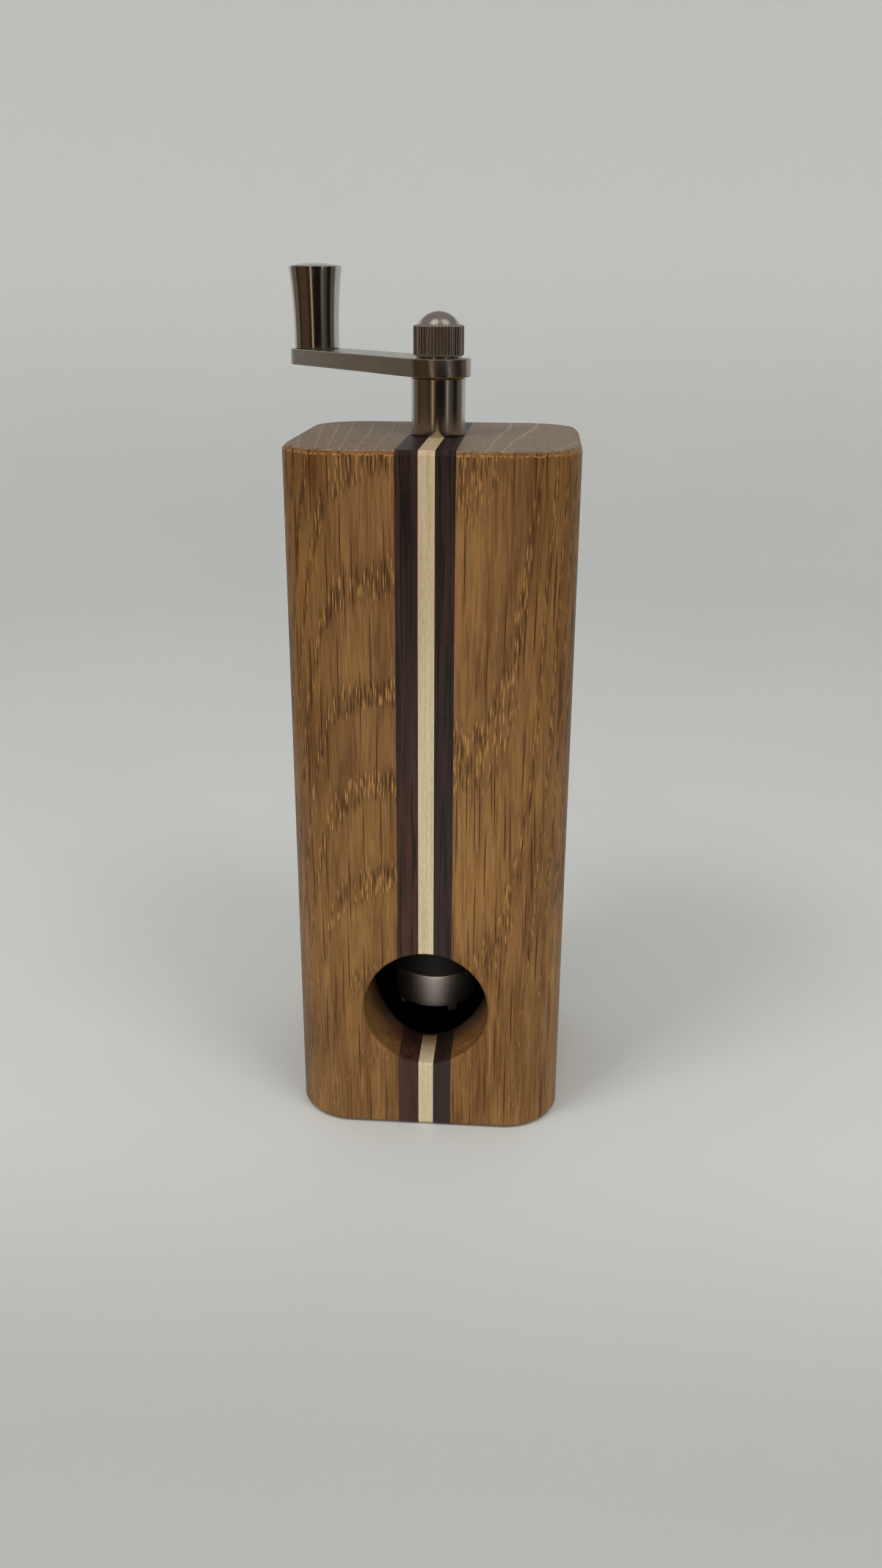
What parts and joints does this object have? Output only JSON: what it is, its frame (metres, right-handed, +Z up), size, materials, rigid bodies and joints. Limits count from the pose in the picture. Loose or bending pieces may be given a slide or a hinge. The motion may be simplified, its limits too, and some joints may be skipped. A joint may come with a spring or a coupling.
{
  "type": "burr coffee grinder",
  "caption": "Square laminated wooden block with a round outlet port low in front, a steel crank with a flared grip on top, and a conical burr set inside.",
  "frame": {"origin": "centre of the underside, on the spindle's axis", "axes": "+Z up along the spindle, -Y towards the outlet port, +X to the right when facing the port"},
  "size_m": [0.075, 0.0875, 0.2025],
  "materials": {
    "oak": "oiled oak, satin",
    "dark_wood": "oiled dark hardwood, satin",
    "light_wood": "oiled maple, satin",
    "polished_steel": "polished",
    "satin_steel": "satin turned",
    "burr_steel": "hardened, matt",
    "bronze": "plain bronze",
    "black_plastic": "moulded, matt",
    "black_rubber": "matt",
    "nylon": "plain nylon"
  },
  "bodies": {
    "housing": {"oak_left": "oak", "oak_right": "oak", "dark_strip_left": "dark_wood", "dark_strip_left_sill": "dark_wood", "light_strip_front": "light_wood", "light_strip_back": "light_wood", "light_strip_sill": "light_wood", "dark_strip_right": "dark_wood", "dark_strip_right_sill": "dark_wood", "base_plug": "black_plastic", "plug_seal": "black_rubber", "top_bush": "satin_steel", "bush_nut": "satin_steel", "thrust_washer": "bronze", "burr_carrier": "black_plastic", "spindle_bush": "bronze", "clamp_ring": "polished_steel", "outer_burr": "burr_steel", "carrier_screw_1": "satin_steel", "carrier_screw_2": "satin_steel", "carrier_screw_3": "satin_steel", "carrier_screw_4": "satin_steel"},
    "crank": {"crank_arm": "satin_steel", "grip_axle": "satin_steel", "axle_snap_ring": "satin_steel", "grip_washer": "nylon"},
    "handle": {"grip": "polished_steel"},
    "adjuster": {"adjuster_nut": "polished_steel", "adjuster_cap": "polished_steel"},
    "spindle_set": {"spindle": "satin_steel", "inner_burr": "burr_steel", "burr_nut": "satin_steel", "spring_washer": "satin_steel", "lift_spring": "satin_steel"}
  },
  "joints": [
    {"name": "crank_turn", "type": "hinge", "parent": "housing", "child": "crank", "pos_m": [0, 0, 0.1778], "axis": [0, 0, 1], "continuous": true},
    {"name": "grip_spin", "type": "hinge", "parent": "crank", "child": "handle", "pos_m": [-0.03557, 0.04807, 0.182], "axis": [0, 0, 1], "continuous": true},
    {"name": "adjuster_turn", "type": "hinge", "parent": "crank", "child": "adjuster", "pos_m": [0, 0, 0.1817], "axis": [0, 0, 1], "range_deg": [-540, 540]},
    {"name": "spindle_lift", "type": "slide", "parent": "crank", "child": "spindle_set", "axis": [0, 0, 1], "range_m": [-0.00105, 0.00105], "deforming": ["lift_spring"]}
  ],
  "couplings": [
    {"joint": "adjuster_turn", "follows": "spindle_lift", "rad_per_m": -8975.9}
  ]
}
